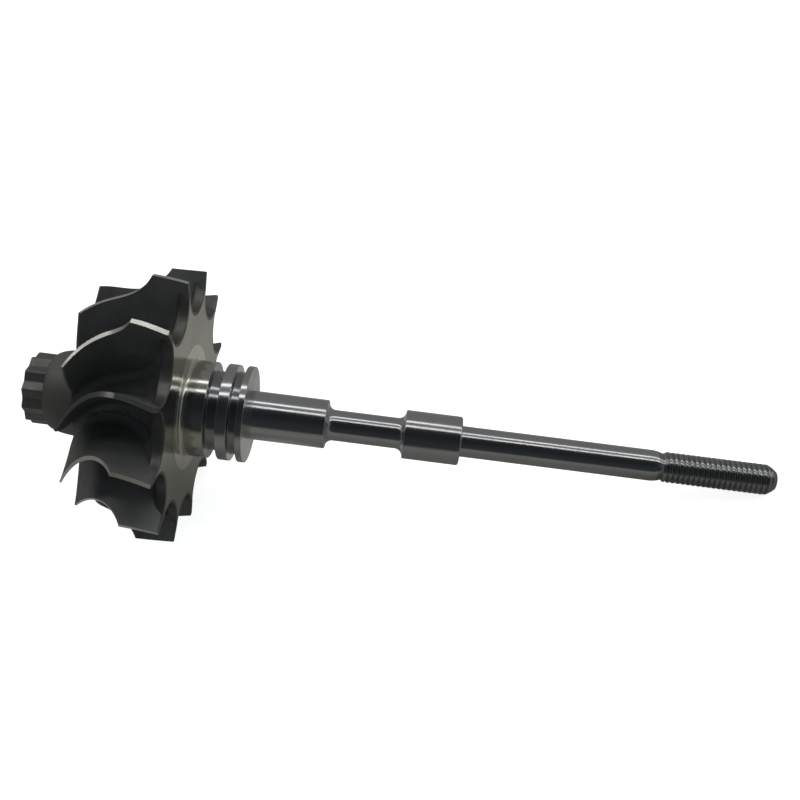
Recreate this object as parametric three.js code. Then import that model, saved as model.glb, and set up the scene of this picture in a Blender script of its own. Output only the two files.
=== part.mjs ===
// Turbocharger shaft and wheel: a cast turbine wheel with twelve blades on a ground steel shaft.
// Millimetres, +Z up. The rotor lies as it does on a table: on two blade tips and on its threaded end.
//
// Each solid is shaped in the rotor's own frame. X runs along the shaft from the nose to the thread,
// with 0 just inside the disc's faced back. Angles turn about X: 0 is up and 90 degrees is -Y.
import * as THREE from 'three';

// Sizes of the wheel
const BLADES = 12;
const TIP_RADIUS = 26.55;           // inlet tips
const BACK_PLANE = 0.5;             // faced back of the disc, and of the weld ring in it
const FRONT_CORNER = -6.84;         // front inlet corner
const EXDUCER_TIP = [-18.26, 21.72];
const EXDUCER_ROOT = [-20.0, 8.4];
const DISC_FRONT = -1.8;
const WELD_RING_RADIUS = 12.3;
const SCALLOP_BOTTOM = 18.9;        // radius of the back disc between two blades
const ARM_WIDTH = 1.4;              // of the disc's arm behind each blade
const HUB_RIM = 18.3;
const ROOT_THICKNESS = 2.2;         // of a blade, at the hub
const TIP_THICKNESS = 1.05;         // of a blade, along the shroud
const EDGE_THINNING = 0.75;         // of either, at the inlet and exducer edges
const BLADE_LEAN = 4.1;             // degrees
const CURL_START = 8.75;            // depth of the wheel at which a blade begins to curl
const CURL_RATE = 0.05;             // degrees, at 1 mm past the start of the curl
const CURL_POWER = 2.66;
const HUB_SHOULDER = [[-26.05, 6.9], [-25.6, 7.4], [-24.8, 7.75], [-23, 8.15]];
const NOSE = -30.4;
const NUT_LENGTH = 4.35;
const NUT_POINT_RADIUS = 7.0;
const NUT_CHAMFER = 0.15;
const NUT_PHASE = 17.6;             // degrees, to the first point

// Radii of the shaft
const LAND_RADIUS = 9.38;           // boss, seal land and thrust disc
const GROOVE_1_RADIUS = 7.7;
const GROOVE_2_RADIUS = 8.0;
const JOURNAL_RADIUS = 4.74;
const STUB_RADIUS = 3.0;
const THREAD_CREST = 2.95;
const THREAD_DEPTH = 0.6;
const PITCH = 1.0;
const END_FACE_RADIUS = 1.84;

// Stations along the shaft
const BOSS_END = 4.93;
const GROOVE_1_END = 7.2;
const LAND_END = 9.25;
const GROOVE_2_END = 10.95;
const THRUST_FACE = 12.17;
const JOURNAL_1_END = 27.13;
const WAIST_END = 42.19;
const JOURNAL_2_END = 53.19;
const RELIEF = 89.6;
const THREAD_START = 91.0;
const THREAD_END = 114.1;

// Small sizes
const FIT = 0.1;                    // clearance between neighbouring solids
const CHAMFER = 0.25;
const END_CHAMFER = 1.8;            // length of the cone at the thread's end
const WAIST_FILLET = JOURNAL_RADIUS - STUB_RADIUS;

// Facets
const ROUND = 40;
const SHAFT_ROUND = 32;
const THREAD_ROUND = 16;
const HUB_STEPS = 9;
const BLADE_STEPS = 10;
const SPAN_STEPS = 4;
const SCALLOP_STEPS = 10;

const STEP_ANGLE = 2 * Math.PI / BLADES;
const FIRST_BLADE = STEP_ANGLE / 2; // so that two blades share the floor

const castAlloy = new THREE.MeshStandardMaterial({ color: 0x35342f, roughness: 0.6, metalness: 0.8 });
const castHub = new THREE.MeshStandardMaterial({ color: 0x4c4b45, roughness: 0.55, metalness: 0.8 });
const machinedAlloy = new THREE.MeshStandardMaterial({ color: 0x8a8880, roughness: 0.4, metalness: 0.9 });
const groundSteel = new THREE.MeshStandardMaterial({ color: 0x7d8084, roughness: 0.2, metalness: 1.0 });
const turnedSteel = new THREE.MeshStandardMaterial({ color: 0x4a4c4f, roughness: 0.35, metalness: 1.0 });

const rotor = new THREE.Group();

function addPiece(name, geometry, material) {
  const mesh = new THREE.Mesh(geometry, material);
  mesh.name = name;
  rotor.add(mesh);
}

function polar(station, radius, angle) {
  return new THREE.Vector3(station, -radius * Math.sin(angle), radius * Math.cos(angle));
}

// A lathe's axis is Y and a shape's normal is Z: both are laid along the rotor's X
const latheToRotor = new THREE.Matrix4().makeBasis(
  new THREE.Vector3(0, -1, 0), new THREE.Vector3(1, 0, 0), new THREE.Vector3(0, 0, 1));
const shapeToRotor = new THREE.Matrix4().makeBasis(
  new THREE.Vector3(0, 0, 1), new THREE.Vector3(0, -1, 0), new THREE.Vector3(1, 0, 0));

// A solid of revolution from its outline, [station, radius] from the nose side to the thread side
function turned(outline, facets = SHAFT_ROUND) {
  const closed = [[outline[0][0], 0], ...outline, [outline.at(-1)[0], 0]];
  const points = closed.map(([station, radius]) => new THREE.Vector2(radius, station));
  return new THREE.LatheGeometry(points, facets).applyMatrix4(latheToRotor);
}

// A short cylinder with a chamfer at each end, clear of its neighbours by the fit. Where a thinner
// neighbour leaves a flat ring on its thread side, seat is the inner radius of that ring.
function land(from, to, radius, { chamfer = CHAMFER, seat = 0 } = {}) {
  const start = from + FIT / 2;
  const end = to - FIT / 2;
  const outline = [[start, radius], [end, radius]];
  if (chamfer > 0) {
    outline[0] = [start + chamfer, radius];
    outline[1] = [end - chamfer, radius];
    outline.unshift([start, radius - chamfer]);
    outline.push([end, radius - chamfer]);
  }
  if (seat > 0) outline.push([end, seat]);
  return turned(outline);
}

// Concave quarter circle of [station, radius] points, from a wall at `wall` down to the waist
function fillet(wall, direction, radius, steps = 4) {
  const points = [];
  for (let step = 0; step <= steps; step++) {
    const turn = step / steps * Math.PI / 2;
    points.push([
      wall + direction * radius * (1 - Math.cos(turn)),
      STUB_RADIUS + radius * (1 - Math.sin(turn)),
    ]);
  }
  return points;
}

// A closed solid through rings of points, each ring running round the axis
function lofted(rings, startStation, endStation) {
  const count = rings[0].length;
  const vertices = rings.flat();
  const faces = [];
  for (let ring = 0; ring + 1 < rings.length; ring++) {
    for (let side = 0; side < count; side++) {
      const next = (side + 1) % count;
      const a = ring * count + side;
      const b = ring * count + next;
      faces.push(a, b, b + count, a, b + count, a + count);
    }
  }
  const startCentre = vertices.push(polar(startStation, 0, 0)) - 1;
  const endCentre = vertices.push(polar(endStation, 0, 0)) - 1;
  const lastRing = (rings.length - 1) * count;
  for (let side = 0; side < count; side++) {
    const next = (side + 1) % count;
    faces.push(startCentre, next, side, endCentre, lastRing + side, lastRing + next);
  }
  const geometry = new THREE.BufferGeometry().setFromPoints(vertices);
  geometry.setIndex(faces);
  return geometry;
}

// Twelve-point nose: two hexagons turned by 30 degrees, chamfered at the free end
function driveNut() {
  const points = 24;
  const phase = THREE.MathUtils.degToRad(NUT_PHASE);
  const valleyRadius = NUT_POINT_RADIUS * Math.cos(Math.PI / 6) / Math.cos(Math.PI / 12);
  const ring = (station, scale) => Array.from({ length: points }, (_, index) => {
    const radius = index % 2 === 0 ? NUT_POINT_RADIUS : valleyRadius;
    return polar(station, radius * scale, phase + 2 * Math.PI * index / points);
  });
  const end = NOSE + NUT_LENGTH - FIT / 2;
  const chamferScale = 1 - NUT_CHAMFER / NUT_POINT_RADIUS;
  return lofted(
    [ring(NOSE, chamferScale), ring(NOSE + NUT_CHAMFER, 1), ring(end, 1)], NOSE, end);
}

// Meridional curves of the blades, as (station, radius), from the inlet to the exducer
const hubCurve = new THREE.CubicBezierCurve(
  new THREE.Vector2(DISC_FRONT, TIP_RADIUS), new THREE.Vector2(DISC_FRONT, 14.0),
  new THREE.Vector2(-6.0, EXDUCER_ROOT[1]), new THREE.Vector2(...EXDUCER_ROOT));
const shroudCurve = new THREE.CubicBezierCurve(
  new THREE.Vector2(FRONT_CORNER, TIP_RADIUS), new THREE.Vector2(-8.84, 22.35),
  new THREE.Vector2(-13.19, 20.73), new THREE.Vector2(...EXDUCER_TIP));

// Where the hub curve comes down to the hub's rim
function hubRimParameter() {
  let low = 0;
  let high = 1;
  for (let halving = 0; halving < 30; halving++) {
    const middle = (low + high) / 2;
    if (hubCurve.getPoint(middle).y > HUB_RIM) low = middle;
    else high = middle;
  }
  return high;
}

function wheelHub() {
  const rim = hubRimParameter();
  const outline = [...HUB_SHOULDER];
  for (let step = 0; step <= HUB_STEPS; step++) {
    const point = hubCurve.getPoint(1 + (rim - 1) * step / HUB_STEPS);
    outline.push([point.x, point.y]);
  }
  outline.push([DISC_FRONT - FIT, HUB_RIM]);
  return turned(outline, ROUND);
}

// Points of an arc in the plane across the rotor
function arc(centreRadius, centreAngle, radius, from, to, steps) {
  const curve = new THREE.EllipseCurve(
    centreRadius * Math.cos(centreAngle), centreRadius * Math.sin(centreAngle),
    radius, radius, from, to, to < from);
  return curve.getPoints(steps);
}

// Back disc: a plate with an arm out to each blade's tip and a round scallop between the arms
function backDisc() {
  const half = STEP_ANGLE / 2;
  const scallopCentre = (SCALLOP_BOTTOM - ARM_WIDTH / 2) / (1 - Math.sin(half));
  const scallopRadius = scallopCentre * Math.sin(half) - ARM_WIDTH / 2;
  const tipHalfAngle = Math.asin(ARM_WIDTH / 2 / TIP_RADIUS);
  const corners = [];
  for (let index = 0; index < BLADES; index++) {
    const arm = FIRST_BLADE + index * STEP_ANGLE;
    for (const side of [-tipHalfAngle, tipHalfAngle]) {
      corners.push(new THREE.Vector2(
        TIP_RADIUS * Math.cos(arm + side), TIP_RADIUS * Math.sin(arm + side)));
    }
    corners.push(...arc(
      scallopCentre, arm + half, scallopRadius,
      arm - Math.PI / 2, arm + STEP_ANGLE - 3 * Math.PI / 2, SCALLOP_STEPS));
  }
  const outline = new THREE.Shape(corners);
  outline.holes.push(new THREE.Path(
    arc(0, 0, WELD_RING_RADIUS + FIT, 2 * Math.PI, 0, ROUND).slice(1)));
  const plate = new THREE.ExtrudeGeometry(outline, {
    depth: BACK_PLANE - DISC_FRONT, bevelEnabled: false,
  });
  return plate.translate(0, 0, DISC_FRONT).applyMatrix4(shapeToRotor);
}

// How far a blade is turned about the rotor's axis at a station, in radians. It leans back a little
// from the inlet to the middle, and then curls forward ever faster towards the exducer.
function bladeTurn(station) {
  const depth = Math.max(0, -station);
  const lean = BLADE_LEAN * Math.sin(Math.PI / 2 * Math.min(1, depth / CURL_START));
  const curl = CURL_RATE * Math.max(0, depth - CURL_START) ** CURL_POWER;
  return THREE.MathUtils.degToRad(curl - lean);
}

// Middle surface of a blade: along runs from the inlet to the exducer, span from the hub out
function bladeMiddle(along, span, bladeAngle) {
  const root = hubCurve.getPoint(along);
  const tip = shroudCurve.getPoint(along);
  const point = root.lerp(tip, span);
  return polar(point.x, point.y, bladeAngle + bladeTurn(point.x));
}

function bladeThickness(along, span) {
  const atMiddle = THREE.MathUtils.lerp(ROOT_THICKNESS, TIP_THICKNESS, span);
  return atMiddle * (EDGE_THINNING + (1 - EDGE_THINNING) * Math.sin(Math.PI * along));
}

// A closed blade: the middle surface moved out by half the thickness on both sides
function blade(bladeAngle) {
  const nudge = 1e-3;
  const rootSpan = FIT / (FRONT_CORNER - DISC_FRONT) * -1;
  const front = [];
  const back = [];
  for (let row = 0; row <= BLADE_STEPS; row++) {
    const along = row / BLADE_STEPS;
    for (let column = 0; column <= SPAN_STEPS; column++) {
      const span = THREE.MathUtils.lerp(rootSpan, 1, column / SPAN_STEPS);
      const low = Math.min(along, 1 - nudge);
      const point = bladeMiddle(along, span, bladeAngle);
      const alongWay = bladeMiddle(low + nudge, span, bladeAngle)
        .sub(bladeMiddle(low, span, bladeAngle));
      const spanWay = bladeMiddle(along, span + nudge, bladeAngle).sub(point);
      const offset = alongWay.cross(spanWay).setLength(bladeThickness(along, span) / 2);
      front.push(point.clone().add(offset));
      back.push(point.clone().sub(offset));
    }
  }
  return shell(front, back, BLADE_STEPS + 1, SPAN_STEPS + 1);
}

// A closed solid between two grids of points with the same rows and columns
function shell(front, back, rows, columns) {
  const faces = [];
  const quad = (a, b, c, d) => faces.push(a, b, c, a, c, d);
  const f = (row, column) => row * columns + column;
  const b = (row, column) => front.length + row * columns + column;
  for (let row = 0; row + 1 < rows; row++) {
    for (let column = 0; column + 1 < columns; column++) {
      quad(f(row, column), f(row + 1, column), f(row + 1, column + 1), f(row, column + 1));
      quad(b(row, column), b(row, column + 1), b(row + 1, column + 1), b(row + 1, column));
    }
    const last = columns - 1;
    quad(f(row + 1, 0), f(row, 0), b(row, 0), b(row + 1, 0));
    quad(f(row, last), f(row + 1, last), b(row + 1, last), b(row, last));
  }
  for (let column = 0; column + 1 < columns; column++) {
    const last = rows - 1;
    quad(f(0, column), f(0, column + 1), b(0, column + 1), b(0, column));
    quad(f(last, column + 1), f(last, column), b(last, column), b(last, column + 1));
  }
  const geometry = new THREE.BufferGeometry().setFromPoints([...front, ...back]);
  geometry.setIndex(faces);
  return geometry;
}

// Screw thread: rings half a pitch apart, each half ring sheared along the helix, so that the crest
// climbs by half a pitch from one half ring to the next
function threadedEnd() {
  const start = THREAD_START + FIT / 2;
  const halfRing = THREAD_ROUND / 2;
  const ringCount = Math.round(2 * (THREAD_END - start) / PITCH);
  const endSlope = (THREAD_CREST - END_FACE_RADIUS) / END_CHAMFER;
  const angleOf = (side) => 2 * Math.PI * side / THREAD_ROUND;
  const plainRing = (station, radius) => Array.from(
    { length: THREAD_ROUND }, (_, side) => polar(station, radius, angleOf(side)));
  const rings = [plainRing(start, THREAD_CREST - THREAD_DEPTH)];
  for (let index = 0; index < ringCount - 1; index++) {
    const ring = [];
    for (let side = 0; side < THREAD_ROUND; side++) {
      const shear = (side % halfRing) / THREAD_ROUND;
      const station = start + PITCH * (0.25 + index / 2 + shear);
      const crest = (index + Math.floor(side / halfRing)) % 2 === 1;
      const radius = crest ? THREAD_CREST : THREAD_CREST - THREAD_DEPTH;
      const cone = END_FACE_RADIUS + endSlope * (THREAD_END - station);
      ring.push(polar(station, Math.min(radius, cone), angleOf(side)));
    }
    rings.push(ring);
  }
  rings.push(plainRing(THREAD_END, END_FACE_RADIUS));
  return lofted(rings, start, THREAD_END);
}

addPiece('drive_nut', driveNut(), castHub);
addPiece('wheel_hub', wheelHub(), castHub);
addPiece('back_disc', backDisc(), castAlloy);
for (let index = 0; index < BLADES; index++) {
  const number = String(index + 1).padStart(2, '0');
  addPiece(`blade_${number}`, blade(FIRST_BLADE + index * STEP_ANGLE), castAlloy);
}
addPiece('weld_ring', land(
  DISC_FRONT - FIT / 2, BACK_PLANE, WELD_RING_RADIUS, { chamfer: 0, seat: LAND_RADIUS + FIT }), machinedAlloy);
addPiece('seal_boss', land(BACK_PLANE, BOSS_END, LAND_RADIUS), groundSteel);
addPiece('ring_groove_1', land(
  BOSS_END, GROOVE_1_END, GROOVE_1_RADIUS, { chamfer: 0 }), turnedSteel);
addPiece('seal_land', land(GROOVE_1_END, LAND_END, LAND_RADIUS), groundSteel);
addPiece('ring_groove_2', land(
  LAND_END, GROOVE_2_END, GROOVE_2_RADIUS, { chamfer: 0 }), turnedSteel);
addPiece('thrust_disc', land(
  GROOVE_2_END, THRUST_FACE, LAND_RADIUS, { seat: JOURNAL_RADIUS + FIT }), groundSteel);
addPiece('turbine_journal', land(THRUST_FACE, JOURNAL_1_END, JOURNAL_RADIUS), groundSteel);
addPiece('shaft_waist', turned([
  ...fillet(JOURNAL_1_END + FIT / 2, 1, WAIST_FILLET),
  ...fillet(WAIST_END - FIT / 2, -1, WAIST_FILLET).reverse(),
]), groundSteel);
addPiece('compressor_journal', land(
  WAIST_END, JOURNAL_2_END, JOURNAL_RADIUS, { seat: STUB_RADIUS + FIT }), groundSteel);
addPiece('stub_shaft', turned([
  [JOURNAL_2_END + FIT / 2, STUB_RADIUS], [RELIEF, STUB_RADIUS],
  [THREAD_START - FIT / 2, THREAD_CREST - THREAD_DEPTH],
]), groundSteel);
addPiece('threaded_end', threadedEnd(), groundSteel);

// The rotor leans until the two lowest blade tips and the thread's edge touch the floor
const tipDrop = TIP_RADIUS * Math.cos(FIRST_BLADE);
const threadDrop = THREAD_CREST;
const threadEdge = THREAD_END - END_CHAMFER;
rotor.rotation.y = Math.atan((tipDrop - threadDrop) / (threadEdge - BACK_PLANE));

// The origin is under the middle of the rotor's box, on the floor
const box = new THREE.Box3().setFromObject(rotor, true);
const middle = box.getCenter(new THREE.Vector3());
rotor.position.set(-middle.x, -middle.y, -box.min.z);

const turbochargerRotor = new THREE.Group();
turbochargerRotor.add(rotor);

export default turbochargerRotor;
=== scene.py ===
"""Turbocharger shaft and wheel: a cast turbine rotor on its ground steel shaft, lying on a pale floor.

Every surface is a formula on a grid of two parameters, laid along the rotor's own axes, which are
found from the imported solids. Lengths are millimetres in the rotor's axes: along the shaft from the
nose to the thread, with 0 half a millimetre inside the disc's faced back, up, and to the side. The
last step of each surface turns them into metres in the row frame.
"""

import logging
import math
from dataclasses import dataclass, field
from enum import Enum, IntEnum

import bpy
import numpy as np
from bpy.types import Material, Node, NodeSocket, NodeTree, Object
from mathutils import Matrix, Vector


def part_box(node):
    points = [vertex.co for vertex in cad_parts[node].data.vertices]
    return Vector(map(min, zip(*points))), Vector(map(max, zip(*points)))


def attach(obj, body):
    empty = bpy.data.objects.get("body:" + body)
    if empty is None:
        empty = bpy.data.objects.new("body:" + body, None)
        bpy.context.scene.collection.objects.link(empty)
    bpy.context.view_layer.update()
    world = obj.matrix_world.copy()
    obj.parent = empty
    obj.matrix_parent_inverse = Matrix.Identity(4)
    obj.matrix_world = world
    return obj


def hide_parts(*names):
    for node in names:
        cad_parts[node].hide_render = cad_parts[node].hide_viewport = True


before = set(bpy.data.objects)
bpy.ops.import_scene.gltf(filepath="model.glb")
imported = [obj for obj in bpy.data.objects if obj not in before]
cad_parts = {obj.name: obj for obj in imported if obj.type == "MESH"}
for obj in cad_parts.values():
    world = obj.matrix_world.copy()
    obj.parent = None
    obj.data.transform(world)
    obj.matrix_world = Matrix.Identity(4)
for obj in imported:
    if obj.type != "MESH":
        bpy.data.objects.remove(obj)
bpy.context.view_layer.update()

logging.basicConfig(level=logging.INFO, format="%(message)s")
log = logging.getLogger("rotor")

MILLIMETRE = 0.001
FULL_TURN = 2.0 * math.pi
CREASE = 32.0                       # degrees past which an edge is drawn sharp
BODY = "root"


class Slot(Enum):
    """The record's material slots that the scene's pieces belong to."""

    CAST_WHEEL = "cast_wheel"
    CAST_BACK = "cast_back"
    WELD_RING = "weld_ring"
    GROUND_STEEL = "ground_steel"
    ROLLED_THREAD = "rolled_thread"


class WheelZone(IntEnum):
    """Zones of the casting, in the order of its materials."""

    SHOULDER = 0
    SKIN = 1
    BACK = 2
    EDGE = 3


# Axes and curves


@dataclass(frozen=True)
class RotorAxes:
    """The rotor's own axes in the row frame, in metres.

    origin is station 0 on the shaft's axis, along runs from the nose to the thread, up is square
    to it in the vertical plane, and side is square to both, towards -Y.
    """

    origin: np.ndarray
    along: np.ndarray
    up: np.ndarray
    side: np.ndarray

    @classmethod
    def from_solids(cls, first: str, first_station: float, second: str) -> "RotorAxes":
        """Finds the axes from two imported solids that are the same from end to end.

        The middle of such a solid's box lies on the rotor's axis, so two of them give its line.

        Args:
            first: Node nearer the wheel.
            first_station: Station of that node's middle, in mm.
            second: Node nearer the thread.

        Returns:
            The axes.
        """
        near = np.mean([np.array(corner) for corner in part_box(first)], axis=0)
        far = np.mean([np.array(corner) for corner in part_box(second)], axis=0)
        along = (far - near) / np.linalg.norm(far - near)
        side = np.cross(along, (0.0, 0.0, 1.0))
        side /= np.linalg.norm(side)
        origin = near - along * first_station * MILLIMETRE
        return cls(origin, along, np.cross(side, along), side)

    def direction(self, along: float, up: float, side: float) -> Vector:
        """Turns a direction in the rotor's axes into one in the row frame."""
        return Vector(along * self.along + up * self.up + side * self.side)

    def row(self, points: np.ndarray) -> np.ndarray:
        """Turns positions in the rotor's axes, in mm, into positions in the row frame, in metres."""
        return self.origin + MILLIMETRE * (points @ np.stack([self.along, self.up, self.side]))


def around(station: np.ndarray, radius: np.ndarray, angle: np.ndarray) -> np.ndarray:
    """Turns cylinder coordinates into positions in the rotor's axes.

    The height is the radius times the cosine of the angle, and the side its sine.

    Args:
        station: Millimetres along the shaft.
        radius: Millimetres from the shaft's axis.
        angle: Radians about the axis, 0 up and a quarter turn towards the side.

    Returns:
        Positions with a last axis of three.
    """
    station, radius, angle = np.broadcast_arrays(station, radius, angle)
    return np.stack([station, radius * np.cos(angle), radius * np.sin(angle)], axis=-1)


def column_angles(columns: int) -> np.ndarray:
    """Angles in radians of columns that stand evenly round the shaft."""
    return np.arange(columns) * FULL_TURN / columns


def bezier(corners: list[tuple[float, float]], parameter: np.ndarray) -> np.ndarray:
    """Points of a cubic Bezier curve: the four corners weighted by the cubic Bernstein terms.

    Args:
        corners: Four points.
        parameter: Values from 0 to 1.

    Returns:
        One point for each value.
    """
    done = np.asarray(parameter, float)[..., None]
    left = 1 - done
    start, leaving, arriving, end = np.array(corners, float)
    first_half = left ** 3 * start + 3 * done * left ** 2 * leaving
    return first_half + 3 * done ** 2 * left * arriving + done ** 3 * end


def polyline(points: list[tuple[float, float]], parameter: np.ndarray) -> np.ndarray:
    """Points at even fractions of a broken line's length.

    Args:
        points: Its corners.
        parameter: Values from 0 at the first corner to 1 at the last.

    Returns:
        One point for each value.
    """
    corners = np.array(points, float)
    reach = np.concatenate([[0.0], np.cumsum(np.linalg.norm(np.diff(corners, axis=0), axis=1))])
    where = np.asarray(parameter, float) * reach[-1]
    return np.stack([np.interp(where, reach, values) for values in corners.T], axis=-1)


def smooth_step(value: np.ndarray, low: float, high: float) -> np.ndarray:
    """Goes smoothly from 0 at low to 1 at high, as 3 times the share squared less 2 times its cube."""
    share = np.clip((value - low) / (high - low), 0.0, 1.0)
    return share * share * (3.0 - 2.0 * share)


def rounded_outline(corners: list[tuple[float, ...]], arc_steps: int = 8) -> np.ndarray:
    """Outline of a turned piece, with each corner rounded.

    The arc that rounds a corner touches both of its stretches: it starts at the rounding over the
    tangent of half the corner's angle, and turns about the point that lies a rounding from both.

    Args:
        corners: (station, radius) or (station, radius, rounding), from the nose to the thread.
        arc_steps: Steps along each arc.

    Returns:
        An array of (station, radius) points.
    """
    points = [np.array(corners[0][:2], float)]
    for before, corner, after in zip(corners[:-2], corners[1:-1], corners[2:]):
        here = np.array(corner[:2], float)
        rounding = corner[2] if len(corner) > 2 else 0.0
        back = np.array(before[:2], float) - here
        ahead = np.array(after[:2], float) - here
        back /= np.linalg.norm(back)
        ahead /= np.linalg.norm(ahead)
        half = 0.5 * math.acos(float(np.clip(back @ ahead, -1.0, 1.0)))
        if rounding <= 0.0 or half > 0.499 * math.pi:
            points.append(here)
            continue
        centre = here + (back + ahead) / np.linalg.norm(back + ahead) * rounding / math.sin(half)
        start = here + back * rounding / math.tan(half) - centre
        end = here + ahead * rounding / math.tan(half) - centre
        share = np.linspace(0.0, 1.0, arc_steps + 1)[:, None]
        sweep = math.pi - 2.0 * half
        points.extend(centre + (np.sin((1.0 - share) * sweep) * start + np.sin(share * sweep) * end)
                      / math.sin(sweep))
    points.append(np.array(corners[-1][:2], float))
    return np.array(points)


# Meshes


def add_mesh(name: str, points: np.ndarray, faces: list[list[int]], materials: list[Material],
             zones: np.ndarray | None = None, crease: float = CREASE) -> Object:
    """Makes an object from whole arrays.

    Args:
        name: Name of the piece.
        points: Positions in the row frame, in metres.
        faces: Corner numbers of each face, facing out.
        materials: Materials in the order that zones counts them.
        zones: Material number of each face, or None for the first.
        crease: Angle in degrees past which an edge is drawn sharp.

    Returns:
        The object, linked to the scene and at the origin.
    """
    mesh = bpy.data.meshes.new(name)
    mesh.from_pydata(points.reshape(-1, 3).tolist(), [], faces)
    for material in materials:
        mesh.materials.append(material)
    if zones is not None:
        mesh.polygons.foreach_set("material_index", np.asarray(zones, np.int32))
    mesh.polygons.foreach_set("use_smooth", np.ones(len(mesh.polygons), bool))
    mesh.set_sharp_from_angle(angle=math.radians(crease))
    mesh.update()
    piece = bpy.data.objects.new(name, mesh)
    bpy.context.scene.collection.objects.link(piece)
    return piece


def closed_turn(name: str, axes: RotorAxes, station: np.ndarray, radius: np.ndarray, angle: np.ndarray,
                materials: list[Material], row_zones: np.ndarray | None = None,
                crease: float = CREASE) -> Object:
    """A closed surface round the shaft: rings of points, with a point on the axis at each end.

    Row i and column j hold the point at station[i, j], radius[i, j] and angle[i, j]. Rows run from
    the nose side over the outside to the thread side, and columns with the angle, so the faces
    point out. A fan of triangles closes each end on the axis, level with its ring.

    Args:
        name: Name of the piece.
        axes: The rotor's axes.
        station: Stations in mm, that broadcast with the other two.
        radius: Radii in mm.
        angle: Angles in radians.
        materials: Materials in the order that row_zones counts them.
        row_zones: Material number of the band that starts at each row.
        crease: Angle in degrees past which an edge is drawn sharp.

    Returns:
        The object.
    """
    rings = around(station, radius, angle)
    rows, columns = rings.shape[:2]
    ends = np.array([[rings[0, :, 0].mean(), 0.0, 0.0], [rings[-1, :, 0].mean(), 0.0, 0.0]])
    number = np.arange(rows * columns).reshape(rows, columns)
    following = np.roll(number, -1, axis=1)
    bands = np.stack([number[:-1], following[:-1], following[1:], number[1:]], axis=-1)
    start = np.stack([np.full(columns, rows * columns), following[0], number[0]], axis=-1)
    end = np.stack([np.full(columns, rows * columns + 1), number[-1], following[-1]], axis=-1)
    faces = bands.reshape(-1, 4).tolist() + start.tolist() + end.tolist()
    zones = None
    if row_zones is not None:
        zones = np.concatenate([np.repeat(row_zones[:rows - 1], columns),
                                np.full(columns, row_zones[0]), np.full(columns, row_zones[rows - 2])])
    points = axes.row(np.concatenate([rings.reshape(-1, 3), ends]))
    return add_mesh(name, points, faces, materials, zones, crease)


def turned(name: str, axes: RotorAxes, outline: np.ndarray, materials: list[Material],
           zone_ends: list[float] | None = None, columns: int = 192) -> Object:
    """A solid of revolution from its outline.

    Args:
        name: Name of the piece.
        axes: The rotor's axes.
        outline: (station, radius) points from the nose side to the thread side.
        materials: Materials in order along the shaft.
        zone_ends: Station at which each material but the last gives way to the next.
        columns: Points round the shaft.

    Returns:
        The object.
    """
    angle = column_angles(columns)
    middles = 0.5 * (outline[:-1, 0] + outline[1:, 0])
    zones = np.searchsorted(np.array(zone_ends or [math.inf]), middles)
    return closed_turn(name, axes, outline[:, :1], outline[:, 1:], angle[None, :], materials, zones)


def closed_sheet(name: str, axes: RotorAxes, front: np.ndarray, back: np.ndarray,
                 materials: list[Material], edge_zones: tuple[int, int, int, int]) -> Object:
    """A closed body between two grids of points with the same rows and columns.

    Args:
        name: Name of the piece.
        axes: The rotor's axes.
        front: Grid that faces along the cross product of its rows' and columns' directions.
        back: Grid on the other side.
        materials: Materials in the order that edge_zones counts them; the sides take the first.
        edge_zones: Material numbers of the walls at the first row, last row, first column and
            last column.

    Returns:
        The object.
    """
    rows, columns = front.shape[:2]
    near = np.arange(rows * columns).reshape(rows, columns)
    far = near + rows * columns
    sides = [np.stack([near[:-1, :-1], near[1:, :-1], near[1:, 1:], near[:-1, 1:]], -1).reshape(-1, 4),
             np.stack([far[:-1, :-1], far[:-1, 1:], far[1:, 1:], far[1:, :-1]], -1).reshape(-1, 4)]
    walls = [np.stack([near[0, :-1], near[0, 1:], far[0, 1:], far[0, :-1]], -1),
             np.stack([near[-1, 1:], near[-1, :-1], far[-1, :-1], far[-1, 1:]], -1),
             np.stack([near[1:, 0], near[:-1, 0], far[:-1, 0], far[1:, 0]], -1),
             np.stack([near[:-1, -1], near[1:, -1], far[1:, -1], far[:-1, -1]], -1)]
    zones = np.concatenate([np.zeros(2 * len(sides[0]), int)]
                           + [np.full(len(wall), zone) for wall, zone in zip(walls, edge_zones)])
    points = axes.row(np.concatenate([front.reshape(-1, 3), back.reshape(-1, 3)]))
    return add_mesh(name, points, np.concatenate(sides + walls).tolist(), materials, zones)


def settle(piece: Object, slot: Slot, *nodes: str) -> Object:
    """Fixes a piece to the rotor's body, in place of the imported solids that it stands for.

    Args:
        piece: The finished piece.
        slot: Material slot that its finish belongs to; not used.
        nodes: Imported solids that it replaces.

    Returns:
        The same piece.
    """
    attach(piece, BODY)
    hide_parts(*nodes)
    log.info("%s: %d faces, for %s", piece.name, len(piece.data.polygons), ", ".join(nodes))
    return piece


# Materials


def linear(colour: str) -> tuple[float, float, float, float]:
    """Turns an sRGB hex colour such as #8a8880 into linear red, green, blue and alpha."""
    channels = [int(colour[place:place + 2], 16) / 255.0 for place in (1, 3, 5)]
    curve = [value / 12.92 if value <= 0.04045 else ((value + 0.055) / 1.055) ** 2.4 for value in channels]
    return (curve[0], curve[1], curve[2], 1.0)


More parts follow.
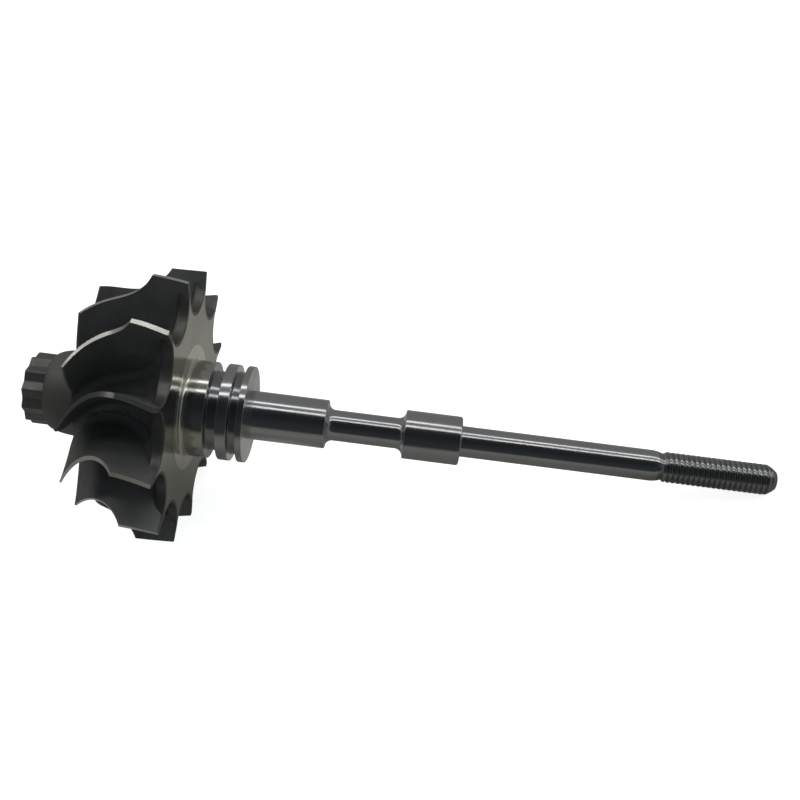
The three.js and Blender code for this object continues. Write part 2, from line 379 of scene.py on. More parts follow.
def add_node(tree: NodeTree, kind: str, inputs: dict | None = None, **settings: str) -> Node:
    """Adds one shader node with its settings and links.

    Args:
        tree: Node tree that gets the node.
        kind: Blender's name of the node type, without ShaderNode before it.
        inputs: Sockets by name or number, each with a value or with an output that feeds it.
        settings: Attributes of the node.

    Returns:
        The new node.
    """
    node = tree.nodes.new("ShaderNode" + kind)
    for key, value in settings.items():
        setattr(node, key, value)
    for key, value in (inputs or {}).items():
        if isinstance(value, NodeSocket):
            tree.links.new(value, node.inputs[key])
        else:
            node.inputs[key].default_value = value
    return node


def calculated(tree: NodeTree, operation: str, *values: object) -> NodeSocket:
    """Result of a math node on numbers or outputs."""
    return add_node(tree, "Math", dict(enumerate(values)), operation=operation).outputs[0]


def ranged(tree: NodeTree, value: NodeSocket, before: tuple, after: tuple,
           kind: str = "LINEAR") -> NodeSocket:
    """Carries a value from the range before to the range after, and holds it at their ends."""
    return add_node(tree, "MapRange", {
        "Value": value, "From Min": before[0], "From Max": before[1],
        "To Min": after[0], "To Max": after[1]}, interpolation_type=kind).outputs[0]


@dataclass(frozen=True)
class MetalFinish:
    """A metal surface: its colour, its gloss and the marks that its making left.

    dark and light are the two colours that blotches of blotch_mm vary between, and roughness
    varies with them by roughness_spread either way. grain_mm is the size of a cast skin's grain
    and rings_mm the spacing of tool marks round the shaft, each with a height in mm. Nearly all
    of a noise lies within noise_range, and each finer layer of it is noise_fading as strong.
    """

    name: str
    dark: str
    light: str
    roughness: float
    roughness_spread: float
    blotch_mm: float
    metallic: float = 1.0
    grain_mm: float = 0.0
    grain_height: float = 0.0
    rings_mm: float = 0.0
    rings_height: float = 0.0
    noise_range: tuple[float, float] = (0.35, 0.65)
    noise_fading: float = 0.6

    def noise(self, tree: NodeTree, place: NodeSocket, size: float, layers: float) -> NodeSocket:
        """Noise with features of a size in mm, at a place in mm."""
        return add_node(tree, "TexNoise", {
            "Vector": place, "Scale": 1.0 / size, "Detail": layers,
            "Roughness": self.noise_fading}).outputs[0]

    def material(self, axes: RotorAxes) -> Material:
        """Builds the node material.

        Object coordinates are turned so that X runs along the shaft, in mm. A slow noise mixes the
        two colours and sets the roughness. The grain is a fine noise. Tool marks are a noise of
        the distance along the shaft and the distance from its axis only, so they run round a
        cylinder and in circles on a faced end. Both go through bump nodes.

        Args:
            axes: The rotor's axes, for the turn.

        Returns:
            The material.
        """
        material = bpy.data.materials.new(self.name)
        material.use_nodes = True
        tree = material.node_tree
        shader = tree.nodes["Principled BSDF"]
        shader.inputs["Metallic"].default_value = self.metallic
        place = add_node(tree, "TexCoord").outputs["Object"]
        directions = (axes.along, axes.up, axes.side)
        per_metre = 1000.0
        shift = tuple(-per_metre * float(direction @ axes.origin) for direction in directions)
        rotor = add_node(tree, "Mapping", {
            "Vector": place, "Rotation": Matrix(directions).to_euler(), "Location": shift,
            "Scale": (per_metre, per_metre, per_metre)}, vector_type="POINT").outputs["Vector"]
        slow = self.noise(tree, rotor, self.blotch_mm, 4.0)
        share = ranged(tree, slow, self.noise_range, (0.0, 1.0))
        colour = add_node(tree, "Mix", {
            0: share, 6: linear(self.dark), 7: linear(self.light)}, data_type="RGBA").outputs[2]
        tree.links.new(colour, shader.inputs["Base Color"])
        rough = ranged(tree, slow, self.noise_range, (self.roughness + self.roughness_spread,
                                                      self.roughness - self.roughness_spread))
        tree.links.new(rough, shader.inputs["Roughness"])
        bumps: list[tuple[NodeSocket, float]] = []
        if self.grain_mm:
            bumps.append((self.noise(tree, rotor, self.grain_mm, 3.0), self.grain_height))
        if self.rings_mm:
            parts = add_node(tree, "SeparateXYZ", {"Vector": rotor}).outputs
            side_squared = calculated(tree, "MULTIPLY", parts["Z"], parts["Z"])
            squared = calculated(tree, "MULTIPLY_ADD", parts["Y"], parts["Y"], side_squared)
            profile = add_node(tree, "CombineXYZ", {
                "X": parts["X"], "Y": calculated(tree, "POWER", squared, 0.5)}).outputs[0]
            bumps.append((self.noise(tree, profile, self.rings_mm, 2.0), self.rings_height))
        normal = None
        for height, distance in bumps:
            bump = add_node(tree, "Bump", {
                "Height": height, "Distance": distance * MILLIMETRE})
            if normal is not None:
                tree.links.new(normal, bump.inputs["Normal"])
            normal = bump.outputs["Normal"]
        if normal is not None:
            tree.links.new(normal, shader.inputs["Normal"])
        return material


# Investment-cast nickel superalloy, grit-blasted and darkened by heat: a dull, dark skin. The
# oxide on it is no metal, so it is only partly metallic. Its real grain of about
# 0.15 mm is drawn at 0.4 mm, or it would be lost between the pixels.
CAST_SKIN = MetalFinish("nickel superalloy, cast and blasted", "#757573", "#858583", 0.5, 0.05, 7.0,
                        metallic=0.6, grain_mm=0.4, grain_height=0.01)
# The disc's scalloped edge, left as cast, is a little glossier than the blasted skin; its darker colour is
# painted shade of the recessed walls under the blades
CAST_EDGE_PAINTED_SHADE = MetalFinish("nickel superalloy, cast edge with painted shade", "#72716d", "#807f7a", 0.42, 0.05, 7.0,
                        metallic=0.8, grain_mm=0.4, grain_height=0.01)
# The nose keeps the cast skin, burnished by the socket that holds it for balancing
CAST_NOSE = MetalFinish("nickel superalloy, cast and burnished", "#797975", "#878782", 0.4, 0.04, 5.0,
                        metallic=0.7, grain_mm=0.4, grain_height=0.006)
# The shoulder behind it is blasted only: even, warm grey and matt
CAST_SHOULDER = MetalFinish("nickel superalloy, cast shoulder", "#787670", "#817f78", 0.55, 0.04, 5.0,
                            metallic=0.55, grain_mm=0.4, grain_height=0.006)
# The disc's back is faced: an even, warm grey with a soft mirror
CAST_BACK = MetalFinish("nickel superalloy, faced back", "#b4b3a9", "#bcbbb1", 0.18, 0.02, 9.0)
# Blade tips are turned to the housing's contour: bare bright alloy, too fine-lined for a clear mirror
TURNED_TIPS = MetalFinish("nickel superalloy, turned blade tips", "#f8f7ee", "#fbfaf2", 0.33, 0.02, 3.0)
# The ring round the weld is faced after the shaft is joined on: paler than the disc
FACED_RING = MetalFinish("nickel superalloy, faced weld ring", "#e6e5da", "#ecebe0", 0.18, 0.02, 4.0)
# Hardened alloy steel, cylindrically ground and polished: a near mirror with hair-fine rings,
# drawn at 0.5 mm because the real ones of about 0.02 mm are too fine to show
GROUND = MetalFinish("alloy steel, ground and polished", "#cfd0d1", "#d8d9da", 0.17, 0.02, 12.0,
                     rings_mm=0.5, rings_height=0.0005)
# The boss by the weld is ground too, and keeps a faint warm tint from the heat
HEAT_TINTED = MetalFinish("alloy steel, ground and heat tinted", "#cbc8c1", "#d6d4ce", 0.155, 0.02, 9.0,
                          rings_mm=0.5, rings_height=0.0005)
# The ring grooves, and the neck before the thread, are turned and not ground
TURNED_GROOVE = MetalFinish("alloy steel, turned groove", "#a3a4a6", "#b2b3b5", 0.16, 0.03, 4.0,
                            rings_mm=0.35, rings_height=0.002)
# The thrust face is faced on a lathe and left matt
TURNED_FACE = MetalFinish("alloy steel, faced end", "#bfc0c1", "#c9cacb", 0.3, 0.03, 4.0)
# The thread is rolled, and keeps a thin film of oil
ROLLED = MetalFinish("alloy steel, rolled thread", "#b2b3b3", "#bebfbf", 0.21, 0.03, 3.0,
                     rings_mm=0.5, rings_height=0.0005)


@dataclass
class FinishShelf:
    """Makes the material of each finish once, and hands it out again."""

    axes: RotorAxes
    made: dict[str, Material] = field(default_factory=dict)

    def take(self, *finishes: MetalFinish) -> list[Material]:
        """Materials of these finishes, in their order."""
        for finish in finishes:
            if finish.name not in self.made:
                self.made[finish.name] = finish.material(self.axes)
        return [self.made[finish.name] for finish in finishes]


# The turbine wheel


@dataclass
class TurbineWheel:
    """The cast wheel: twelve-point nose, hub, scalloped back disc and twelve blades."""

    axes: RotorAxes
    shelf: FinishShelf
    blades: int = 12
    tip_radius: float = 26.42
    rear_corner: float = 0.3        # station of the blades' rear corners
    back_plane: float = 0.5         # station of the disc's faced back
    ring_radius: float = 12.3       # where the faced ring takes over
    ring_seat: float = 0.4          # depth of the casting's end behind that ring
    nose_end: float = -30.1
    nut_end: float = -25.8
    nut_point_radius: float = 7.0
    nut_first_point: float = 17.6   # degrees
    nut_edge: float = 0.2
    shoulder_seat: float = 5.0      # radius of the casting's end inside the nose
    hub_floor: float = 8.46         # radius under which a point is inside the hub
    disc_start: float = 16.0        # radius from which the rows spread to the scallops
    scallop_bottom: float = 18.9
    arm_half_width: float = 0.34
    arm_limit: float = 0.003        # radians that an edge stays away from an arm's middle
    rim_rounding: float = 0.2
    front_rounding: float = 1.0     # from the disc's front into the scallops' walls
    root_fillet: float = 1.6
    fillet_depth: float = 0.6       # depth under the hub's surface at which a fillet has faded out
    thinning_height: float = 12.0   # height over the hub at which a blade is as thin as its tip
    blade_edge: float = 0.08
    lean: float = 3.7               # degrees
    curl_start: float = 8.76
    curl_rate: float = 0.056        # degrees at 1 mm past the start
    curl_power: float = 2.66

    def hub_line(self, parameter: np.ndarray) -> np.ndarray:
        """Hub between the blades, from the exducer end outwards to the disc, as (station, radius)."""
        return bezier([(-20.0, 8.45), (-6.0, 8.4), (-1.8, 14.0), (-1.8, 21.0)], parameter)

    def shroud_line(self, parameter: np.ndarray) -> np.ndarray:
        """Line of the blade tips, from the front inlet corner to the exducer, as (station, radius)."""
        return bezier([(-6.68, self.tip_radius), (-8.97, 21.98), (-12.98, 20.71), (-17.87, 21.59)], parameter)

    def disc_front(self, radius: np.ndarray) -> np.ndarray:
        """Station of the hub's surface at a radius."""
        line = self.hub_line(np.linspace(0.0, 1.0, 400))
        return np.interp(radius, line[:, 1], line[:, 0])

    def blade_turn(self, station: np.ndarray) -> np.ndarray:
        """Turn of a blade about the axis at a station, in radians.

        It leans back by a quarter sine to the middle of the wheel, and then curls forward by a
        power of the depth past there, so the exducer is swept most.
        """
        depth = np.maximum(0.0, -station)
        back = self.lean * np.sin(0.5 * math.pi * np.minimum(1.0, depth / self.curl_start))
        forward = self.curl_rate * np.maximum(0.0, depth - self.curl_start) ** self.curl_power
        return np.radians(forward - back)

    def nose_nut(self) -> Object:
        """Twelve-point nose, as two hexagons crossed at 30 degrees.

        Round the axis the radius is the larger of the two hexagons', each its flat's distance over
        the cosine of the angle from the middle of that flat, and a short window softens the
        corners. A quarter arc rounds the free end.

        Returns:
            The piece.
        """
        columns = 480
        angle = column_angles(columns)
        sixth = FULL_TURN / 6.0
        flat = self.nut_point_radius * math.cos(0.5 * sixth)
        first = angle - math.radians(self.nut_first_point)
        hexagons = [flat / np.cos((first + shift) % sixth - 0.5 * sixth) for shift in (0.0, 0.5 * sixth)]
        sharp = np.maximum(*hexagons)
        window = np.hanning(9)
        soft = np.convolve(np.tile(sharp, 3), window / window.sum(), "same")[columns:2 * columns]
        arc = np.linspace(0.0, 0.5 * math.pi, 6)
        station = np.concatenate([self.nose_end + self.nut_edge * (1.0 - np.cos(arc)), [self.nut_end]])
        inset = np.concatenate([self.nut_edge * (1.0 - np.sin(arc)), [0.0]])
        piece = closed_turn("nose_nut", self.axes, station[:, None], soft[None, :] - inset[:, None],
                            angle[None, :], self.shelf.take(CAST_NOSE), crease=40.0)
        return settle(piece, Slot.CAST_BACK, "drive_nut")

    def scallops(self, inset: float) -> tuple[np.ndarray, np.ndarray]:
        """Edge of the back disc: twelve circles bite into it and leave an arm for each blade.

        A bite's circle touches the two arms beside it, and its centre lies between them at the
        distance that puts its bottom on the scallop radius. Only its inner arc is used.

        Args:
            inset: How far inside the edge the line runs, in mm.

        Returns:
            Radii and angles of the line's points, round the whole disc.
        """
        half = math.pi / self.blades
        centre = (self.scallop_bottom - self.arm_half_width) / (1.0 - math.sin(half))
        radius = centre * math.sin(half) - self.arm_half_width + inset
        sweep = np.linspace(half - 0.5 * math.pi, 0.5 * math.pi - half, 37)
        outwards = centre - radius * np.cos(sweep)
        across = radius * np.sin(sweep)
        limit = half - self.arm_limit
        turn = np.clip(np.arctan2(across, outwards), -limit, limit)
        middles = 2.0 * half * np.arange(1, self.blades + 1)
        angle = (middles[:, None] + turn[None, :]).reshape(-1)
        return np.tile(np.hypot(outwards, across), self.blades), angle

    def casting(self) -> Object:
        """Hub and back disc in one surface.

        Each column runs at one angle from the nose shoulder and along the hub. Over the disc's
        front it spreads evenly to the scalloped edge, goes round that edge, and comes back in over
        the disc's back to the weld ring. Two quarter arcs round the edge, a large one from the
        front and a small one to the back. Their points lie inside the edge by the rounding times
        1 less the sine, or at the back the cosine, of the turn.

        Returns:
            The piece.
        """
        edge, front_edge = self.rim_rounding, self.front_rounding
        rim_radius, rim_angle = self.scallops(0.0)
        front_radius, front_angle = self.scallops(front_edge)
        flat_radius, flat_angle = self.scallops(edge)
        level = np.ones_like(rim_radius)
        stations, radii, angles, zones = [], [], [], []

        def add_row(station: np.ndarray | float, radius: np.ndarray | float, angle: np.ndarray,
                    zone: WheelZone) -> None:
            """Adds one ring of points, with the material of the band that starts there."""
            stations.append(station * level)
            radii.append(radius * level)
            angles.append(angle)
            zones.append(int(zone))

        shoulder = bezier([(-26.1, 6.9), (-25.7, 7.7), (-24.0, 8.25), (-20.0, 8.45)],
                          np.linspace(0.0, 1.0, 14))
        hub = self.hub_line(np.linspace(0.0, 1.0, 60))
        inner = hub[hub[:, 1] < self.disc_start][1:]
        add_row(shoulder[0, 0], self.shoulder_seat, rim_angle, WheelZone.SHOULDER)
        for station, radius in shoulder:
            add_row(station, radius, rim_angle, WheelZone.SHOULDER)
        for station, radius in inner:
            add_row(station, radius, rim_angle, WheelZone.SKIN)
        for share in np.linspace(0.0, 1.0, 13)[1:]:
            radius = inner[-1, 1] + (front_radius - inner[-1, 1]) * share
            angle = rim_angle + (front_angle - rim_angle) * share
            add_row(self.disc_front(radius), radius, angle, WheelZone.SKIN)
        front, back = self.disc_front(front_radius), self.back_plane
        for turn in np.linspace(0.0, 0.5 * math.pi, 10)[1:]:
            radius, angle = self.scallops(front_edge * (1.0 - math.sin(turn)))
            add_row(front + front_edge * (1.0 - math.cos(turn)), radius, angle, WheelZone.EDGE)
        for turn in np.linspace(0.0, 0.5 * math.pi, 6):
            radius, angle = self.scallops(edge * (1.0 - math.cos(turn)))
            add_row(back - edge * (1.0 - math.sin(turn)), radius, angle, WheelZone.EDGE)
        for share in np.linspace(0.0, 1.0, 15)[1:]:
            radius = flat_radius + (self.ring_radius - flat_radius) * share
            add_row(back, radius, flat_angle, WheelZone.BACK)
        add_row(back - self.ring_seat, self.ring_radius - 0.02, flat_angle, WheelZone.BACK)
        # The edge zone takes the darker cast edge finish: painted shade on the scallop walls
        piece = closed_turn("wheel_casting", self.axes, np.array(stations), np.array(radii), np.array(angles),
                            self.shelf.take(CAST_SHOULDER, CAST_SKIN, CAST_BACK, CAST_EDGE_PAINTED_SHADE), np.array(zones))
        return settle(piece, Slot.CAST_WHEEL, "wheel_hub", "back_disc")

    def blade(self, index: int) -> Object:
        """One blade with its root fillets.

        A grid between a line hidden in the hub and the shroud line gives the stations and radii of
        the middle surface, and its angle is the blade's own plus the turn at the station. Half the
        thickness is laid off both ways: square to that surface, and near the hub round the shaft,
        so that the fillets' feet stay on the hub. It falls from the root to the tip, and near the
        hub it grows by a quarter circle of the distance from the hub's surface.

        Args:
            index: Place of the blade round the wheel.

        Returns:
            The piece.
        """
        rows, columns = 80, 48
        along = np.linspace(0.0, 1.0, rows)
        hidden = polyline([(self.rear_corner, self.tip_radius), (self.back_plane + 0.01, 22.8),
                           (self.back_plane - 0.2, 21.0), (0.0, 18.0), (-0.9, 16.0),
                           (-2.2, 13.4), (-4.8, 10.4), (-8.0, 8.9), (-13.0, 7.6), (-19.9, 7.2)], along)
        tips = self.shroud_line(along)
        share = (np.linspace(0.0, 1.0, columns) ** 1.25)[None, :, None]
        meridian = hidden[:, None] + (tips - hidden)[:, None] * share
        station, radius = meridian[..., 0], meridian[..., 1]
        own_angle = (index + 0.5) * FULL_TURN / self.blades
        angle = own_angle + self.blade_turn(station)
        middle = around(station, radius, angle)
        square = np.cross(np.gradient(middle, axis=0), np.gradient(middle, axis=1))
        square /= np.linalg.norm(square, axis=-1, keepdims=True)

        surface = self.hub_line(np.linspace(0.0, 1.0, 240))
        distance = np.sqrt(((meridian[:, :, None] - surface) ** 2).sum(axis=-1)).min(axis=-1)
        buried = (radius < self.hub_floor) | (station > self.disc_front(radius))
        height = np.where(buried, 0.0, distance)
        outwards = smooth_step(radius, 15.0, 20.0)
        up_the_blade = np.maximum(np.clip(height / self.thinning_height, 0.0, 1.0), outwards)
        tip = np.interp(along, [0.0, 0.15, 0.6, 1.0], [0.92, 0.98, 0.85, 0.42])[:, None]
        root = np.interp(along, [0.0, 0.3, 0.7, 1.0], [1.2, 1.7, 1.7, 1.1])[:, None]
        near = 1.0 - np.clip(height / self.root_fillet, 0.0, 1.0)
        covered = np.where(buried, np.clip(1.0 - distance / self.fillet_depth, 0.0, 1.0), 1.0)
        covered = np.maximum(covered, smooth_step(radius, 15.5, 17.0))
        flare = self.root_fillet * (1.0 - np.sqrt(1.0 - near ** 2)) * (1.0 - outwards) * covered
        half = 0.5 * (root + (tip - root) * up_the_blade ** 0.8) + flare
        circle = np.stack([np.zeros_like(angle), -np.sin(angle), np.cos(angle)], axis=-1)
        facing = np.sum(square * circle, axis=-1, keepdims=True)
        rooted = ((1.0 - smooth_step(height, 0.5, 4.0)) * (1.0 - outwards))[..., None]
        offset = (square * (1.0 - rooted) + circle / facing * rooted) * half[..., None]
        piece = closed_sheet(f"cast_blade_{index + 1:02d}", self.axes, middle + offset, middle - offset,
                             self.shelf.take(CAST_SKIN, TURNED_TIPS), (1, 0, 0, 1))
        bevel = piece.modifiers.new("broken edges", "BEVEL")
        bevel.width = self.blade_edge * MILLIMETRE
        bevel.segments = 2
        bevel.limit_method = "ANGLE"
        bevel.angle_limit = math.radians(50.0)
        bevel.harden_normals = True
        return settle(piece, Slot.CAST_WHEEL, f"blade_{index + 1:02d}")

    def build(self) -> None:
        """Builds the nose, the casting and the blades."""
        self.nose_nut()
        self.casting()
        for index in range(self.blades):
            self.blade(index)


# The shaft


@dataclass
class SealEnd:
    """The weld ring and the boss with its two ring grooves and thrust disc."""

    axes: RotorAxes
    shelf: FinishShelf
    ring_radius: float = 12.28
    ring_face: float = 0.51
    land_radius: float = 9.38
    first_groove: float = 7.7       # radii of the grooves' bottoms
    second_groove: float = 8.0
    edge: float = 0.1               # rounding of the lands' edges
    corner: float = 0.3             # rounding of the grooves' corners
    core: float = 4.0

    def weld_ring(self) -> Object:
        """Faced ring round the weld: a flat disc with a broken edge. Returns the piece."""
        outline = rounded_outline([(-0.45, self.ring_radius - 0.1), (-0.45, self.ring_radius),
                                   (self.ring_face, self.ring_radius, 0.03), (self.ring_face, 9.2, 0.65),
                                   (1.3, 9.2), (1.3, 8.6)], 16)
        piece = turned("faced_ring", self.axes, outline, self.shelf.take(FACED_RING))
        return settle(piece, Slot.WELD_RING, "weld_ring")

    def seal_section(self) -> Object:
        """Boss, two ring grooves, the land between them and the thrust disc, turned in one piece.

        Returns:
            The piece.
        """
        land, first, second = self.land_radius, self.first_groove, self.second_groove
        edge, corner = self.edge, self.corner
        outline = rounded_outline([
            (1.1, land - 0.4), (1.1, land - 0.24), (1.32, land - 0.24), (1.48, land, 0.06),
            (4.93, land, edge), (4.93, first, corner), (7.2, first, corner), (7.2, land, edge),
            (9.25, land, edge), (9.25, second, corner), (10.95, second, corner), (10.95, land, edge),
            (12.17, land, edge), (12.17, self.core)])
        finishes = (HEAT_TINTED, TURNED_GROOVE, GROUND, TURNED_GROOVE, GROUND, TURNED_FACE)
        piece = turned("seal_section", self.axes, outline, self.shelf.take(*finishes),
                       [4.9, 7.15, 9.28, 10.9, 12.165])
        return settle(piece, Slot.GROUND_STEEL, "seal_boss", "ring_groove_1", "seal_land", "ring_groove_2",
                      "thrust_disc")

    def build(self) -> None:
        """Builds the ring and the seal section."""
        self.weld_ring()
        self.seal_section()


@dataclass
class BearingShaft:
    """The two journals with the waist between them, and the slim shank for the compressor wheel."""

    axes: RotorAxes
    shelf: FinishShelf
    journal_radius: float = 4.74
    stub_radius: float = 3.0        # of the waist too
    shank_end: float = 91.3
    shank_rounding: float = 5.5
    neck: float = 92.4
    thread_core: float = 2.53
    waist_fillet: float = 1.46
    journal_edge: float = 0.25
    shoulder_edge: float = 0.4

    def bearing_section(self) -> Object:
        """Turbine journal, waist and compressor journal. Returns the piece."""
        journal, waist = self.journal_radius, self.stub_radius
        edge, fillet = self.journal_edge, self.waist_fillet
        outline = rounded_outline([
            (11.9, journal), (12.17, journal), (27.13, journal, edge), (27.13, waist, fillet),
            (42.19, waist, fillet), (42.19, journal, edge), (53.19, journal, self.shoulder_edge),
            (53.19, 2.2)], 10)
        piece = turned("bearing_section", self.axes, outline, self.shelf.take(GROUND))
        return settle(piece, Slot.GROUND_STEEL, "turbine_journal", "shaft_waist", "compressor_journal")

    def shank(self) -> Object:
        """Slim shank, with a short rounded cone down to the thread's core. Returns the piece."""
        hidden_end = self.neck + 0.8
        outline = rounded_outline([
            (53.0, 2.4), (53.0, self.stub_radius), (self.shank_end, self.stub_radius, self.shank_rounding),
            (self.neck, self.thread_core, 0.5), (hidden_end, self.thread_core), (hidden_end, 1.0)], 16)
        piece = turned("shank", self.axes, outline, self.shelf.take(GROUND, TURNED_GROOVE), [self.shank_end])
        return settle(piece, Slot.GROUND_STEEL, "stub_shaft")

    def build(self) -> None:
        """Builds the journals and the shank."""
        self.bearing_section()
        self.shank()


@dataclass
class ScrewThread:
    """The right-handed metric thread, 6 mm across at 1 mm pitch, that holds the compressor wheel."""

    axes: RotorAxes
    shelf: FinishShelf
    start: float = 92.3
    end: float = 114.3
    pitch: float = 1.0
    crest: float = 2.95
    depth: float = 0.42
    crest_share: float = 0.46       # shares of the pitch
    flank_share: float = 0.44
    flank_roundness: float = 0.45   # 0 for a straight flank, 1 for a wave
    run_in: float = 0.7
    end_bulge: float = 0.4
    end_face: float = 1.84
    end_cone: float = 1.8
    rows_per_pitch: int = 16
    columns: int = 96

    def build(self) -> Object:
        """Builds the thread.

        At a station s and an angle a the place in the profile is the fraction of s over the pitch
        less a over a turn. The radius falls from the crest flat, nearly half the pitch wide, down
        a flank to the rounded root, a tenth of it wide. It is limited by a bulging cone at the end
        and rises out of the core over the run-in.

        Returns:
            The piece.
        """
        rows = int(round((self.end - self.start) / self.pitch * self.rows_per_pitch)) + 1
        station = np.linspace(self.start, self.end, rows)[:, None]
        angle = column_angles(self.columns)[None, :]
        place = (station / self.pitch - angle / FULL_TURN) % 1.0
        from_crest = 2.0 * np.abs(place - 0.5)
        flank = np.clip((from_crest - self.crest_share) / self.flank_share, 0.0, 1.0)
        fall = (1.0 - self.flank_roundness) * flank + self.flank_roundness * smooth_step(flank, 0.0, 1.0)
        risen = smooth_step(station, self.start, self.start + self.run_in)
        radius = self.crest - self.depth * (1.0 - risen * (1.0 - fall))
        inside = np.clip((self.end - station) / self.end_cone, 0.0, 1.0)
        bulge = 1.0 + self.end_bulge - self.end_bulge * inside
        radius = np.minimum(radius, self.end_face + (self.crest - self.end_face) * inside * bulge)
        piece = closed_turn("rolled_screw", self.axes, station, radius, angle, self.shelf.take(ROLLED),
                            crease=60.0)
        return settle(piece, Slot.ROLLED_THREAD, "threaded_end")


# Studio and camera


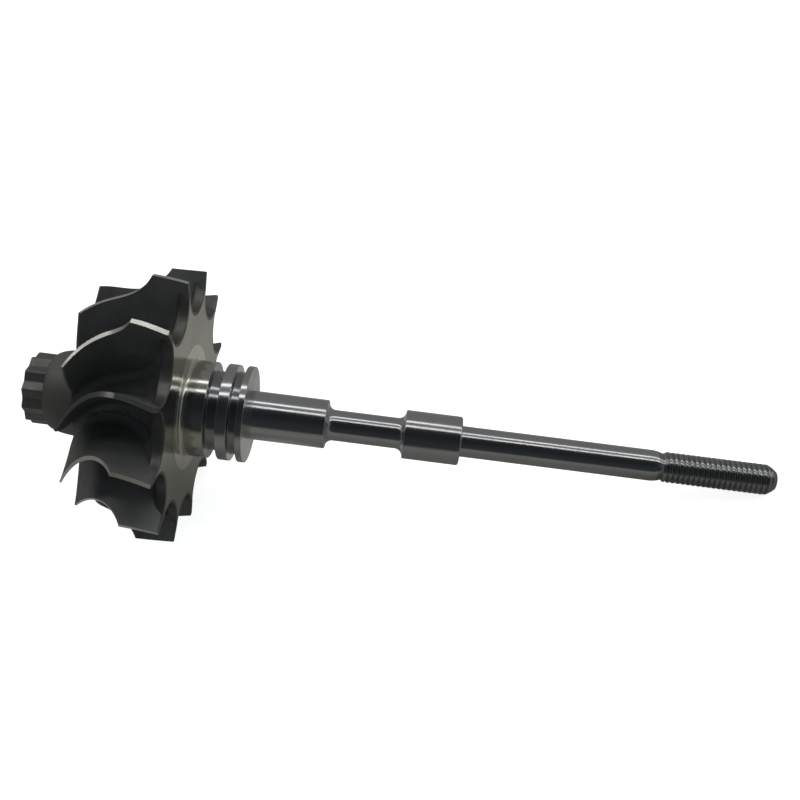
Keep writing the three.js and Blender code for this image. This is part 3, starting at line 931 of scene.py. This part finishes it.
@dataclass
class Studio:
    """Pale floor, two long soft strips over the shaft and a dim surround."""

    axes: RotorAxes
    strip_angles: tuple[float, float] = (1.4, -22.0)   # degrees from up, towards the side
    strip_strength: float = 0.83    # watts
    strip_distance: float = 0.6
    strip_width: float = 0.06
    strip_length: float = 2.4
    middle_station: float = 40.0
    floor_size: float = 6.0
    floor_glow: float = 0.84        # what the paper gives off to the camera, to look white
    # In the metal the floor holds painted light: a pool of light near the rotor and painted shadow under the
    # shaft
    floor_beyond: float = 0.19      # how bright the floor is in the metal, on the far side,
    floor_under_painted_shadow: float = 0.12       # under the shaft,
    floor_near: float = 0.165       # and on the viewer's side
    far_side: float = 0.173         # brightness of the surround in the metal
    near_tint: str = "#dbe9f5"
    near_horizon: float = 0.04
    near_zenith: float = 0.02
    thread_side: float = 0.18
    soft_light: float = 0.25        # light from all round on what is matt
    # Painted pools of light and painted shadows of the floor in the metal: middle X, middle Y and radius
    # in metres, and the change
    painted_pools_and_shadows: tuple[tuple[float, float, float, float], ...] = (
        (-0.033, 0.04, 0.055, 0.108), (-0.026, 0.008, 0.013, 0.25), (-0.052, -0.012, 0.034, -0.05),
        (-0.03, -0.008, 0.014, 0.07), (-0.085, -0.02, 0.05, 0.1), (-0.024, 0.03, 0.014, 0.1),
        (0.057, -0.002, 0.022, -0.06))

    def floor(self) -> Object:
        """Pale matt floor. In the metal it looks grey, with painted light: a pool of light round the rotor,
        painted shadow under the shaft, the wheel's foot and the thread, and brighter and darker spots.

        Returns:
            The floor.
        """
        half = 0.5 * self.floor_size
        corners = np.array([(-half, -half, 0.0), (half, -half, 0.0), (half, half, 0.0), (-half, half, 0.0)])
        material = bpy.data.materials.new("matt white paper")
        material.use_nodes = True
        tree = material.node_tree
        tree.nodes.remove(tree.nodes["Principled BSDF"])
        paper = add_node(tree, "BsdfDiffuse", {"Color": linear("#f4f4f2")})
        glow = add_node(tree, "Emission", {
            "Color": linear("#ffffff"), "Strength": self.floor_glow})
        lit = add_node(tree, "AddShader", {0: paper.outputs[0], 1: glow.outputs[0]})
        place = add_node(tree, "TexCoord").outputs["Object"]
        across = add_node(tree, "SeparateXYZ", {"Vector": place}).outputs["Y"]
        # Bands across the floor, in the metal only: a painted pool of light on the viewer's side near the
        # rotor, painted shadow under the shaft, brighter beyond
        bands = [(-0.32, -0.05, 0.03, self.floor_near), (-0.05, 0.0, 0.0, self.floor_under_painted_shadow - self.floor_near),
                 (0.0, 0.03, 0.0, self.floor_beyond - self.floor_under_painted_shadow)]
        total = None
        for low, high, before, after in bands:
            band = ranged(tree, across, (low, high), (before, after), "SMOOTHSTEP")
            total = band if total is None else calculated(tree, "ADD", total, band)
        # Each spot paints a pool of light where its change is positive and a shadow where it is negative,
        # seen only in the metal
        for middle_x, middle_y, radius, change in self.painted_pools_and_shadows:
            distance = add_node(tree, "VectorMath", {
                0: place, 1: (middle_x, middle_y, 0.0)}, operation="DISTANCE").outputs["Value"]
            painted_spot = ranged(tree, distance, (0.0, radius), (change, 0.0), "SMOOTHSTEP")
            total = calculated(tree, "ADD", total, painted_spot)
        shade = add_node(tree, "Emission", {"Color": linear("#fffef8"), "Strength": total})
        seen = add_node(tree, "MixShader", {
            0: add_node(tree, "LightPath").outputs["Is Camera Ray"],
            1: shade.outputs[0], 2: lit.outputs[0]})
        tree.links.new(seen.outputs[0], tree.nodes["Material Output"].inputs["Surface"])
        sheet = add_mesh("floor", corners, [[0, 1, 2, 3]], [material])
        return sheet

    def strip(self, name: str, angle: float) -> Object:
        """One strip light that runs beside the shaft and faces it.

        Args:
            name: Name of the light.
            angle: Degrees about the shaft from up, towards the side.

        Returns:
            The light.
        """
        light = bpy.data.lights.new(name, "AREA")
        light.shape = "RECTANGLE"
        light.size = self.strip_length
        light.size_y = self.strip_width
        light.energy = self.strip_strength
        strip = bpy.data.objects.new(name, light)
        bpy.context.scene.collection.objects.link(strip)
        turn = math.radians(angle)
        away = self.axes.direction(0.0, math.cos(turn), math.sin(turn))
        lengthwise = self.axes.direction(1.0, 0.0, 0.0)
        centre = Vector(self.axes.row(np.array([self.middle_station, 0.0, 0.0]))) + away * self.strip_distance
        strip.matrix_world = Matrix.Translation(centre) @ Matrix(
            (lengthwise, away.cross(lengthwise), away)).transposed().to_4x4()
        strip.visible_camera = False
        return strip

    def surround(self) -> None:
        """Surround that is white behind the object, and dim where the metal mirrors it.

        In the metal it is neutral on the far side. On the viewer's side it takes the near tint,
        and falls from the horizon's value to the zenith's. It rises towards the thread side.
        """
        world = bpy.data.worlds.new("studio surround")
        bpy.context.scene.world = world
        world.use_nodes = True
        tree = world.node_tree
        background = tree.nodes["Background"]
        rays = add_node(tree, "LightPath").outputs
        towards = add_node(tree, "SeparateXYZ", {
            "Vector": add_node(tree, "TexCoord").outputs["Generated"]}).outputs
        near = ranged(tree, towards["Z"], (0.2, 0.9), (self.near_horizon, self.near_zenith), "SMOOTHSTEP")
        beyond = ranged(tree, towards["Y"], (-0.1, 0.25), (0.0, 1.0), "SMOOTHSTEP")
        across = ranged(tree, beyond, (0.0, 1.0), (near, self.far_side))
        lengthwise = ranged(tree, towards["X"], (0.58, 0.98), (0.0, self.thread_side), "SMOOTHSTEP")
        dim = calculated(tree, "MAXIMUM", across, lengthwise)
        soft = calculated(tree, "MULTIPLY_ADD", rays["Is Diffuse Ray"], self.soft_light, dim)
        strength = calculated(tree, "MAXIMUM", soft, rays["Is Camera Ray"])
        neutral = calculated(tree, "MAXIMUM", beyond, rays["Is Camera Ray"])
        colour = add_node(tree, "Mix", {
            0: neutral, 6: linear(self.near_tint), 7: linear("#ffffff")}, data_type="RGBA")
        tree.links.new(colour.outputs[2], background.inputs["Color"])
        tree.links.new(strength, background.inputs["Strength"])

    def build(self) -> None:
        """Builds the floor, the strips and the surround."""
        self.floor()
        for number, angle in enumerate(self.strip_angles, 1):
            self.strip(f"strip_light_{number}", angle)
        self.surround()
        bpy.context.scene.view_settings.view_transform = "Standard"
        log.info("studio: floor, %d strips and surround", len(self.strip_angles))


@dataclass
class ViewCamera:
    """Camera at the photograph's angle, in the rotor's axes: along, up and to the side."""

    axes: RotorAxes
    place: tuple[float, float, float] = (42.108, 138.636, 125.296)
    forward: tuple[float, float, float] = (-0.008054, -0.718265, -0.695723)
    upright: tuple[float, float, float] = (-0.125265, 0.69099, -0.711928)
    lens: float = 43.317
    sensor_width: float = 36.0
    nearest: float = 0.01           # metres in front of the lens from which it sees

    def build(self) -> Object:
        """Makes the camera and gives it to the scene. Returns it."""
        lens = bpy.data.cameras.new("camera")
        lens.lens = self.lens
        lens.sensor_width = self.sensor_width
        lens.clip_start = self.nearest
        camera = bpy.data.objects.new("camera", lens)
        bpy.context.scene.collection.objects.link(camera)
        forward = self.axes.direction(*self.forward).normalized()
        right = forward.cross(self.axes.direction(*self.upright)).normalized()
        turn = Matrix((right, right.cross(forward), -forward)).transposed()
        centre = Vector(self.axes.row(np.array(self.place)))
        camera.matrix_world = Matrix.Translation(centre) @ turn.to_4x4()
        bpy.context.scene.camera = camera
        log.info("camera: %.0f mm lens", lens.lens)
        return camera


def main() -> None:
    """Builds the rotor's pieces in order, then the studio and the camera."""
    axes = RotorAxes.from_solids("seal_boss", 2.715, "compressor_journal")
    log.info("axes: origin %s, along %s", axes.origin.round(6), axes.along.round(6))
    shelf = FinishShelf(axes)
    TurbineWheel(axes, shelf).build()
    SealEnd(axes, shelf).build()
    BearingShaft(axes, shelf).build()
    ScrewThread(axes, shelf).build()
    Studio(axes).build()
    ViewCamera(axes).build()


if __name__ == "__main__":
    main()
